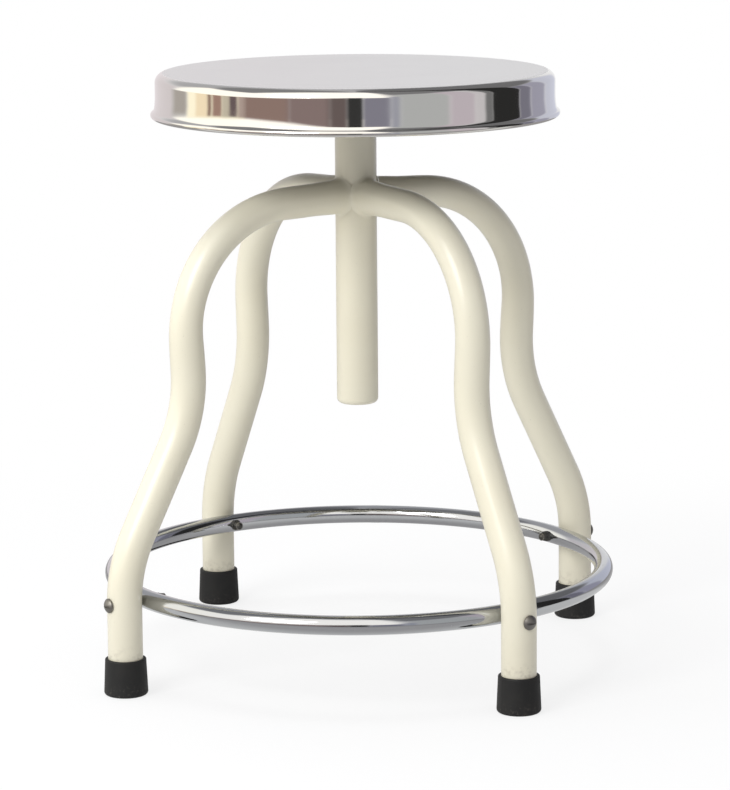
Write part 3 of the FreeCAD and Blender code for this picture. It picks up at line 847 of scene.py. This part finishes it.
@dataclass
class SteelFrame(SubAssembly):
    """The column and the four legs that are bent from tube and welded to it."""

    leg_diameter: float = 25.4 * MM
    leg_wall: float = 1.5 * MM
    arm_run: float = 59.5 * MM
    droop: float = 2.2
    shoulder_radius: float = 89.0 * MM
    lean: float = 3.2
    waist_run: float = 20.5 * MM
    knee_radius: float = 106.0 * MM
    flare: float = 27.9
    shin_run: float = 69.5 * MM
    ankle_radius: float = 104.5 * MM
    arm_start: float = 2.0 * MM
    fine_spacing: float = 5.0 * MM
    arm_press: float = 0.05
    bend_press: float = 0.085
    press_arm: Point = (4.0 * MM, 22.0 * MM)
    press_bend: Point = (-12.0 * MM, 20.0 * MM)
    press_end: Point = (-30.0 * MM, 15.0 * MM)
    leg_sides: int = 48
    column_wall: float = 2.0 * MM
    column_roll: float = 4.0 * MM
    column_lip: float = 0.5 * MM
    column_edge: float = 0.4 * MM
    column_sides: int = 96
    weld_blend: float = 1.5 * MM
    weld_reach: float = 7.5 * MM
    weld_steps: tuple[float, ...] = (
        0.004, 0.013, 0.03, 0.06, 0.1, 0.15, 0.21, 0.28, 0.37, 0.48, 0.62, 0.8, 1.0
    )
    weld_sunk: float = 0.4 * MM
    weld_behind: float = 0.3 * MM
    weld_slack: float = 0.5 * MM
    weld_halvings: int = 24
    weld_sides: int = 96

    def __post_init__(self) -> None:
        """Reads the column and the junction from the frame, and works out the arms' droop."""
        low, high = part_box("column_tube")
        self.column_radius = high.x
        self.column_bottom, self.column_top = low.z, high.z
        leg_low, leg_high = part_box("leg_front_right")
        self.leg_radius = self.leg_diameter / 2
        self.junction = leg_high.z - self.leg_radius
        self.leg_end = leg_low.z
        self.dip = math.radians(self.droop)
        self.bend_reach = self.arm_run + self.shoulder_radius * math.sin(self.dip)

    def arm_height(self, reach: float) -> float:
        """How high the drooping arm's centreline is at a distance from the axis."""
        bend_height = self.junction - self.shoulder_radius * (1 - math.cos(self.dip))
        return bend_height + (self.bend_reach - reach) * math.tan(self.dip)

    def meeting(self, turn: float) -> Vector:
        """Where the wall of a leg that points along X meets the column or the next leg.

        Args:
            turn: The angle round the leg's section, from its side, in radians.

        Returns:
            The point.
        """
        y = self.leg_radius * math.cos(turn)
        reach = max(math.sqrt(max(0.0, self.column_radius**2 - y * y)), abs(y))
        return self.on_arm(reach, turn, self.leg_radius)

    def press(self, along: float) -> float:
        """How much lower than wide the bender left the tube.

        Args:
            along: The length of tube from the path's start.

        Returns:
            The share of the height that is lost.
        """
        bend = self.arm_run - self.column_radius
        end = bend + self.shoulder_radius * math.radians(90 + self.lean)
        arm = self.arm_press * ease(along, *self.press_arm)
        bent = ease(along, *(bend + offset for offset in self.press_bend))
        left = 1 - ease(along, *(end + offset for offset in self.press_end))
        return (arm + (self.bend_press - self.arm_press) * bent) * left

    def leg_rings(self, radius: float) -> list[list[Vector]]:
        """Rings of one wall of a leg that points along X."""
        start = self.column_radius + self.arm_start
        path = TubePath(start, self.arm_height(start), -self.dip)
        path.run((self.bend_reach - start) / math.cos(self.dip), self.fine_spacing)
        path.bend(self.shoulder_radius, self.droop - 90 - self.lean)
        path.run(self.waist_run, self.fine_spacing)
        path.bend(self.knee_radius, self.lean + self.flare).run(self.shin_run)
        path.bend(self.ankle_radius, -self.flare)
        path.run(path.at.y - self.leg_end)
        turns = full_turn(self.leg_sides)
        share = radius / self.leg_radius
        first = []
        for turn in turns:
            point = self.meeting(turn)
            flat = Vector((point.x, 0, self.arm_height(point.x)))
            first.append(flat + (point - flat) * share)
        rings = [first]
        along = 0.0
        before = path.stations[0][0]
        for centre, heading in path.stations:
            along += (centre - before).length
            before = centre
            up = Vector((-math.sin(heading), 0, math.cos(heading))) * (1 - self.press(along))
            side = Vector((0, 1, 0))
            spine = Vector((centre.x, 0, centre.y))
            spokes = [side * math.cos(turn) + up * math.sin(turn) for turn in turns]
            rings.append([spine + spoke * radius for spoke in spokes])
        return rings

    def build_legs(self) -> None:
        """Bends the four legs."""
        outside = self.leg_rings(self.leg_radius)
        inside = self.leg_rings(self.leg_radius - self.leg_wall)
        self.add_at_legs("bent_leg", outside + inside[::-1], True, PAINT, "leg_{leg}")

    def on_arm(self, reach: float, turn: float, out: float) -> Vector:
        """A point beside an arm that points along X.

        Args:
            reach: Its distance from the axis along the arm.
            turn: Its angle round the arm, from the side, in radians.
            out: Its distance from the arm's centreline.

        Returns:
            The point.
        """
        over = out * math.sin(turn)
        height = self.arm_height(reach - over * math.sin(self.dip)) + over * math.cos(self.dip)
        return Vector((reach, out * math.cos(turn), height))

    def weld_depth(self, point: Vector, out: float) -> float:
        """How far a point stands off one blended skin of the column, an arm and the next arms.

        Args:
            point: The point, near an arm that points along X.
            out: Its distance from that arm's centreline.

        Returns:
            The distance, which is negative inside the metal.
        """
        column = math.hypot(point.x, point.y) - self.column_radius
        beside = math.hypot(point.x, point.z - self.arm_height(abs(point.y))) - self.leg_radius
        sizes = (column, out - self.leg_radius, beside)
        blend = self.weld_blend
        return -blend * math.log(sum(math.exp(-size / blend) for size in sizes))

    def weld_skin(self, reach: float, turn: float) -> Vector:
        """The outermost point of the weld in one direction from an arm that points along X.

        Args:
            reach: The point's distance from the axis along the arm.
            turn: Its angle round the arm, from the side, in radians.

        Returns:
            The point.
        """
        near = self.leg_radius - self.weld_slack
        limit = self.leg_radius + self.weld_reach
        far = min(limit, reach / max(abs(math.cos(turn)), 1e-6))
        if self.weld_depth(self.on_arm(reach, turn, far), far) < 0:
            return self.on_arm(reach, turn, far)
        for _ in range(self.weld_halvings):
            middle = (near + far) / 2
            if self.weld_depth(self.on_arm(reach, turn, middle), middle) < 0:
                near = middle
            else:
                far = middle
        return self.on_arm(reach, turn, near)

    def build_welds(self) -> None:
        """Fills the corner between each arm and the column with a ground weld."""
        turns = full_turn(self.weld_sides)
        spots = [(self.meeting(turn).x, turn) for turn in turns]
        rings = []
        for share in self.weld_steps:
            step = share * self.weld_reach
            rings.append([self.weld_skin(start + step, turn) for start, turn in spots])
        inside = self.leg_radius - self.weld_sunk
        for step in (self.weld_reach, -self.weld_behind):
            rings.append([self.on_arm(start + step, turn, inside) for start, turn in spots])
        self.add_at_legs("ground_weld", rings, True, PAINT, "leg_welds")

    def build_column(self) -> None:
        """Turns the column, its lower edge rolled in."""
        bore = self.column_radius - self.column_wall
        lip = self.column_radius - self.column_roll - self.column_lip
        lip_top = self.column_bottom + self.column_wall
        outline = Outline()
        outline.to(lip, lip_top, self.column_edge).to(lip, self.column_bottom, self.column_edge)
        outline.to(self.column_radius, self.column_bottom, self.column_roll)
        outline.to(self.column_radius, self.column_top, self.column_edge)
        outline.to(bore, self.column_top)
        outline.to(bore, lip_top, self.column_roll - self.column_wall)
        column = lathe("centre_column", outline.points(closed=True), self.column_sides, True)
        self.add(column, Body.FRAME, PAINT, "column_tube")

    def build(self) -> None:
        """Makes the whole frame."""
        self.build_column()
        self.build_legs()
        self.build_welds()


@dataclass
class FootRing(SubAssembly):
    """The plated ring inside the legs, with the screws and nuts that hold it."""

    seam_angle: float = 97.0
    seam_width: float = 0.9
    seam_proud: float = 0.12 * MM
    nut_width: float = 7.2 * MM
    nut_height: float = 2.8 * MM
    nut_edge: float = 0.5 * MM
    nut_seat: float = 1.2 * MM
    crown_share: float = 0.95
    crown_ledge: float = 0.01 * MM
    crown_lift: float = 0.2 * MM
    dome: float = 5.0 * MM
    dome_steps: int = 8
    sides: int = 36
    steps: int = 288

    def nut_ring(self, height: float, limit: float) -> list[Vector]:
        """One ring of a nut that stands on Z.

        Args:
            height: How high the ring is.
            limit: How far the corners of the hexagon reach at most.

        Returns:
            The ring's points.
        """
        side = math.pi / 3
        ring = []
        for turn in full_turn(6 * self.sides):
            flat = self.nut_width / 2 / math.cos((turn + side / 2) % side - side / 2)
            out = min(flat, limit)
            ring.append(Vector((out * math.cos(turn), out * math.sin(turn), height)))
        return ring

    def build_nuts(self, inside: float, middle: float) -> None:
        """Sets a domed nut against the inside of the ring at each leg.

        Args:
            inside: How far the ring's inner side is from the axis.
            middle: How high the ring's centreline is.
        """
        across = self.nut_width / 2
        bevel = across + self.nut_edge
        crown = self.crown_share * across
        neck = self.nut_height + self.crown_lift
        shape = [
            (-self.nut_seat, bevel),
            (self.nut_height - self.nut_edge, self.nut_width),
            (self.nut_height, bevel),
            (self.nut_height, crown + self.crown_ledge),
            (neck, crown),
        ]
        for i in range(1, self.dome_steps):
            turn = math.pi / 2 * i / self.dome_steps
            shape.append((neck + self.dome * math.sin(turn), crown * math.cos(turn)))
        base = [Vector((0, 0, -self.nut_seat))]
        tip = [Vector((0, 0, neck + self.dome))]
        rings = [base, *(self.nut_ring(height, limit) for height, limit in shape), tip]
        inwards = Matrix.Rotation(-math.pi / 2, 4, "Y")
        inwards = Matrix.Translation((inside, 0, middle)) @ inwards
        # The nuts' near-black zinc is painted shade.
        self.add_at_legs("domed_nut", rings, False, SHADED_ZINC, "ring_nuts", inwards)

    def build(self) -> None:
        """Rolls the ring, with the ground butt weld that closes it, and adds its fasteners."""
        low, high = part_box("foot_ring")
        radius = (high.z - low.z) / 2
        middle = (high.z + low.z) / 2
        reach = high.x - radius
        self.build_nuts(reach - radius, middle)
        rings = []
        for i in range(self.steps):
            angle = 360 * i / self.steps
            away = (angle - self.seam_angle) / self.seam_width
            thick = radius + self.seam_proud * math.exp(-away * away)
            ring = []
            for turn in full_turn(self.sides):
                out, up = thick * math.cos(turn), thick * math.sin(turn)
                ring.append(about_axis(angle) @ Vector((reach + out, 0, middle + up)))
            rings.append(ring)
        self.add(loft("rolled_ring", rings, True), Body.FRAME, CHROME, "foot_ring")
        self.keep(DULL_ZINC, "ring_screws")


@dataclass
class RubberShoes(SubAssembly):
    """Rubber shoes pushed over the ends of the legs."""

    wall: float = 2.3 * MM
    base: float = 8.0 * MM
    edge: float = 2.5 * MM
    lip: float = 1.0 * MM
    tread_reach: float = 9.0 * MM
    tread_width: float = 3.0 * MM
    tread_depth: float = 2.0 * MM
    tread_edge: float = 0.4 * MM
    bore_edge: float = 0.5 * MM
    flare: float = 1.2 * MM
    parting: float = 0.14 * MM
    parting_width: float = 0.035
    sides: int = 96

    def mould_line(self, angle: float, height: float) -> float:
        """The fine ridge where the two halves of the mould met."""
        return self.parting * math.exp(-((math.cos(angle) / self.parting_width) ** 2))

    def build(self) -> None:
        """Moulds the four shoes and sets them under the legs."""
        for name, angle in LEGS.items():
            low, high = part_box(f"shoe_{name}")
            reach = (high.x - low.x) / 2
            top_reach = reach - self.flare
            bore = top_reach - self.wall
            tread_end = self.tread_reach + self.tread_width
            outline = Outline()
            outline.to(0.0, 0.0).to(self.tread_reach, 0.0, self.tread_edge)
            outline.to(self.tread_reach, self.tread_depth).to(tread_end, self.tread_depth)
            outline.to(tread_end, 0.0, self.tread_edge).to(reach, 0.0, self.edge)
            outline.to(top_reach, high.z, self.lip).to(bore, high.z, self.bore_edge)
            outline.to(bore, self.base).to(0.0, self.base)
            points = outline.points()
            shoe = lathe(f"rubber_shoe_{name}", points, self.sides, swell=self.mould_line)
            shoe.data.transform(about_axis(angle))
            middle = (low + high) / 2
            shoe.data.transform(Matrix.Translation((middle.x, middle.y, 0.0)))
            self.add(shoe, Body.FRAME, RUBBER, f"shoe_{name}")
        self.keep(ZINC, "shoe_discs")


@dataclass
class LiftGear(SubAssembly):
    """The lift screw, its nut in the column, and the stop at its lower end."""

    def build(self) -> None:
        """Dresses the solids, whose shapes are right as they are."""
        self.keep(STEEL, "lift_screw", "lift_nut", "stop_washer", "stop_nut", "cotter_pin")
        self.keep(NYLON, "thrust_washer")


@dataclass
class Seat(SubAssembly):
    """The pressed seat, and the plate and hub that join it to the screw."""

    sheet: float = 1.0 * MM
    bead_diameter: float = 4.6 * MM
    bead_steps: int = 40
    ease_radius: float = 60.0 * MM
    ease_angle: float = 9.0
    ease_steps: int = 8
    flare_radius: float = 4.0 * MM
    flare_steps: int = 12
    corner_step: float = 5.0
    weld_radius: float = 2.8 * MM
    weld_ripple: float = 3.0 * MM
    weld_steps: int = 400
    steps: int = 384

    def pan_outline(self) -> list[Point]:
        """The section of the pressing, from the middle of its top to that of its underside."""
        low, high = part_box("seat_pan")
        roll = self.bead_diameter / 2
        bead_reach, bead_height = high.x - roll, low.z + roll
        wall = bead_reach - roll + self.sheet
        inside = wall - self.sheet
        skirt = Outline(step=self.corner_step).to(0.0, high.z)
        skirt.to(wall, high.z, RIM_CORNER).to(wall, low.z)
        points = skirt.points()[:-1]
        start = math.radians(self.ease_angle)
        flare, ease_out = self.flare_radius, self.ease_radius
        spread = flare * math.cos(start) + ease_out * (1 - math.cos(start))
        tangent = math.acos((wall - bead_reach + spread) / (flare + roll))
        flare_reach = bead_reach + (flare + roll) * math.cos(tangent)
        flare_height = bead_height + (flare + roll) * math.sin(tangent)
        eased = (wall + ease_out, flare_height + (ease_out - flare) * math.sin(start))
        flared = (flare_reach, flare_height)
        points += arc(eased, ease_out, math.pi, math.pi + start, self.ease_steps)
        points += arc(flared, flare, math.pi + start, math.pi + tangent, self.flare_steps)[1:]
        points += arc((bead_reach, bead_height), roll, tangent, -math.pi, self.bead_steps)[1:]
        under = high.z - self.sheet
        inner = Outline().to(inside, bead_height)
        inner.to(inside, under, RIM_CORNER - self.sheet).to(0.0, under)
        return points + inner.points()[1:]

    def build(self) -> None:
        """Presses the pan, and dresses what is under it."""
        pan = lathe("pressed_seat", self.pan_outline(), self.steps)
        self.add(pan, Body.SEAT, STAINLESS, "seat_pan")
        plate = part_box("seat_plate")[0]
        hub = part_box("seat_hub")[1]
        line = []
        for turn in full_turn(self.weld_steps):
            line.append(Vector((hub.x * math.cos(turn), hub.x * math.sin(turn), plate.z)))
        run = bead("hub_weld_run", line, self.weld_radius, self.weld_ripple)
        self.add(run, Body.SEAT, PAINT, "hub_weld")
        self.keep(PAINT, "seat_hub")
        self.keep(DULL_ZINC, "seat_plate")
        self.keep(ZINC, "seat_studs", "seat_washers", "seat_nuts")


# Studio


@dataclass(frozen=True)
class Card:
    """A patch of the room that polished metal mirrors.

    Its sides are bearings in degrees, to the right of the camera as seen from the stool, and its
    lower and upper edges are sines of the angle above the horizon. Its upper edge may climb from
    its left side to its right side.
    """

    left: float
    right: float
    low: float
    high: float
    colour: Colour
    soft: float = 1.5
    soft_edge: float = 0.03
    climb: float = 0.0


ROOM = (
    Card(-200.0, 200.0, 0.35, 1.1, (0.55, 0.55, 0.57), soft_edge=0.15),
    Card(-165.0, -72.0, 0.72, 1.1, (0.3, 0.3, 0.31), 6.0),
    Card(-125.0, -68.0, 0.03, 0.68, (1.6, 1.55, 1.42), 8.0),
    Card(-74.0, 20.0, 0.03, 0.985, (1.6, 1.55, 1.47), 6.0),
    Card(23.0, 88.0, 0.72, 1.1, (0.26, 0.26, 0.27), 5.0),
    Card(84.0, 178.0, 0.46, 1.1, (0.21, 0.21, 0.22), 5.0, 0.06),
    Card(-185.0, -127.0, -0.4, 0.3, (0.88, 0.82, 0.84), 4.0, 0.1),
    Card(-128.0, -111.0, -0.4, 0.02, (0.56, 0.52, 0.48), 4.5, 0.06),
    Card(-111.0, -65.0, -0.4, 0.05, (1.47, 1.37, 1.06), 2.5),
    Card(-103.0, -92.0, -0.4, 0.03, (1.28, 1.08, 0.76), 2.0),
    Card(-92.7, -89.5, -0.4, 0.02, (0.38, 0.26, 0.2)),
    Card(-88.7, -81.3, -0.4, 0.02, (0.48, 0.31, 0.25)),
    Card(-81.3, -76.0, -0.4, 0.03, (0.76, 0.69, 0.55)),
    Card(-76.2, -70.2, -0.4, 0.02, (0.19, 0.14, 0.145)),
    Card(-70.2, -64.0, -0.4, 0.03, (0.58, 0.46, 0.41), 2.0),
    Card(-65.5, -37.0, -0.4, 0.03, (0.37, 0.257, 0.225), 2.0, 0.04, 0.08),
    Card(-38.5, -13.0, -0.4, 0.105, (0.325, 0.243, 0.235), 3.0, 0.05, 0.14),
    Card(-15.0, -3.5, -0.4, 0.24, (0.187, 0.147, 0.142), 3.0, 0.06, 0.06),
    Card(-4.6, 4.5, -0.4, 0.3, (0.05, 0.05, 0.05), 1.5, 0.06),
    Card(4.5, 20.0, -0.4, 0.26, (0.3, 0.293, 0.36), 1.5, 0.06),
    Card(19.4, 26.5, -0.4, 0.4, (0.45, 0.46, 0.535), 3.0),
    Card(25.6, 55.5, -0.4, 0.7, (0.59, 0.605, 0.61), 2.5),
    Card(55.0, 72.5, -0.4, 0.75, (0.69, 0.62, 0.68), 3.0),
    Card(72.2, 79.0, -0.4, 0.75, (0.76, 0.73, 0.76), 2.0),
    Card(78.9, 85.0, -0.4, 0.65, (0.23, 0.23, 0.235)),
    Card(84.7, 107.5, -0.5, 1.1, (0.033, 0.033, 0.033), 0.8),
    Card(107.5, 119.5, -0.5, 0.45, (0.25, 0.244, 0.305)),
    Card(119.1, 139.4, -0.5, 0.45, (0.45, 0.445, 0.55), 3.0),
    Card(139.0, 165.0, -0.5, 0.45, (0.71, 0.73, 0.85), 4.0),
)


@dataclass(frozen=True)
class Lamp:
    """A square soft lamp: its place is right, away and up, as seen from the camera."""

    name: str
    place: tuple[float, float, float]
    size: float
    watts: float
    mirrored: bool


LAMPS = (
    Lamp("key_lamp", (-2.0, -2.5, 2.3), 1.6, 79.0, True),
    Lamp("side_lamp", (-2.4, -0.7, 0.45), 0.9, 8.0, False),
    Lamp("top_lamp", (-0.3, 0.2, 2.2), 1.4, 20.0, False),
)


@dataclass
class Studio:
    """A white sweep, soft lamps and the camera of the photograph."""

    azimuth: float = 11.4
    distance: float = 2.6221
    height: float = 0.6796
    yaw: float = 0.12
    pitch: float = 10.393
    roll: float = -0.45
    lens: float = 162.31
    far: float = 20.0
    lamp_aim: float = 0.25
    floor_reaches: tuple[float, ...] = (0.0, 0.4, 0.9, 1.8)
    floor_sides: int = 96
    floor_colour: Colour = (0.82, 0.82, 0.82)
    floor_mirrored: Colour = (0.41, 0.4, 0.4)
    strip: tuple[float, float, float] = (-0.12, 0.19, 0.06)
    strip_mirrored: Colour = (0.8, 0.8, 0.79)
    shadow_fade: float = 0.78
    shadow_edge: Point = (0.3, 0.8)
    horizon: Colour = (0.29, 0.29, 0.305)
    zenith: Colour = (0.68, 0.68, 0.7)
    sky_rise: Point = (0.2, 0.8)
    background: Colour = (0.95, 0.95, 0.96)

    def turned(self, right: float, away: float, up: float) -> Vector:
        """A place or direction that is given as seen from the camera."""
        return about_axis(self.azimuth) @ Vector((right, away, up))

    def build_camera(self) -> None:
        """Stands the camera where the photograph was taken from."""
        data = bpy.data.cameras.new("studio_camera")
        data.lens = self.lens
        data.clip_end = self.far
        camera = in_scene("studio_camera", data)
        place = Matrix.Translation(self.turned(0.0, -self.distance, self.height))
        tilt = Matrix.Rotation(math.radians(90 - self.pitch), 4, "X")
        spin = Matrix.Rotation(math.radians(self.roll), 4, "Z")
        camera.matrix_world = place @ about_axis(self.azimuth - self.yaw) @ tilt @ spin
        bpy.context.scene.camera = camera

    def build_floor(self) -> None:
        """Lays a white floor that fades into the background away from the stool."""
        outline = [(reach, 0.0) for reach in self.floor_reaches]
        floor = lathe("studio_floor", outline, self.floor_sides)
        material = bpy.data.materials.new("studio_floor")
        graph = Graph(material)
        reach = graph.round_axis()[0]
        seen = graph.node("ShaderNodeLightPath", output="Is Camera Ray")
        mirrored = graph.node("ShaderNodeLightPath", output="Is Glossy Ray")
        front = graph.along(graph.place(), self.turned(0.0, -1.0, 0.0))
        strip = graph.mix(front.band(*self.strip), self.floor_mirrored, self.strip_mirrored)
        shown = graph.mix(mirrored, WHITE, strip)
        faded = self.shadow_fade + reach.rise(*self.shadow_edge) * (1 - self.shadow_fade)
        diffuse = graph.node("ShaderNodeBsdfDiffuse", inputs={0: paint_value(self.floor_colour)})
        white = graph.node("ShaderNodeEmission", inputs={"Color": shown, "Strength": 1.0})
        inputs = {0: graph.math("MAXIMUM", seen, mirrored) * faded, 1: diffuse, 2: white}
        graph.finish(graph.node("ShaderNodeMixShader", inputs=inputs))
        floor.data.materials.append(material)

    def build_world(self) -> None:
        """Surrounds the stool with white, soft light and a room for the metal to mirror."""
        world = bpy.data.worlds.new("studio_world")
        bpy.context.scene.world = world
        graph = Graph(world)
        way = graph.node("ShaderNodeTexCoord", output="Generated")
        right = graph.along(way, self.turned(1.0, 0.0, 0.0))
        front = graph.along(way, self.turned(0.0, -1.0, 0.0))
        turn = graph.math("ARCTAN2", right, front) * math.degrees(1.0)
        lift = graph.split(way)[2]
        room: Tint = self.background
        for card in ROOM:
            top = card.high + (turn - card.left) * (card.climb / (card.right - card.left))
            across = turn.band(card.left, card.right, card.soft)
            upright = lift.band(card.low, top, card.soft_edge)
            room = graph.mix(across * upright, room, card.colour)
        seen = graph.node("ShaderNodeLightPath", output="Is Camera Ray")
        mirrored = graph.node("ShaderNodeLightPath", output="Is Glossy Ray")
        soft = graph.mix(lift.rise(*self.sky_rise), self.horizon, self.zenith)
        colour = graph.mix(mirrored, soft, room)
        colour = graph.mix(seen, colour, WHITE)
        shader = graph.node("ShaderNodeBackground", inputs={"Color": colour})
        graph.finish(shader, "ShaderNodeOutputWorld")

    def build_lamp(self, lamp: Lamp) -> None:
        """Hangs a lamp that faces the middle of the stool."""
        data = bpy.data.lights.new(lamp.name, "AREA")
        data.size = lamp.size
        data.energy = lamp.watts
        made = in_scene(lamp.name, data)
        made.location = self.turned(*lamp.place)
        made.visible_glossy = lamp.mirrored
        aim = Vector((0.0, 0.0, self.lamp_aim)) - self.turned(*lamp.place)
        made.rotation_mode = "QUATERNION"
        made.rotation_quaternion = aim.to_track_quat("-Z", "Y")

    def build(self) -> None:
        """Sets up the whole studio."""
        bpy.context.scene.view_settings.view_transform = "Standard"
        self.build_camera()
        self.build_floor()
        self.build_world()
        for lamp in LAMPS:
            self.build_lamp(lamp)


def main() -> None:
    """Builds the stool piece by piece, then its studio."""
    logging.basicConfig(level=logging.INFO, format="%(message)s")
    for assembly in (SteelFrame(), FootRing(), RubberShoes(), LiftGear(), Seat()):
        LOG.info("building %s", type(assembly).__name__)
        assembly.build()
    Studio().build()


if __name__ == "__main__":
    main()
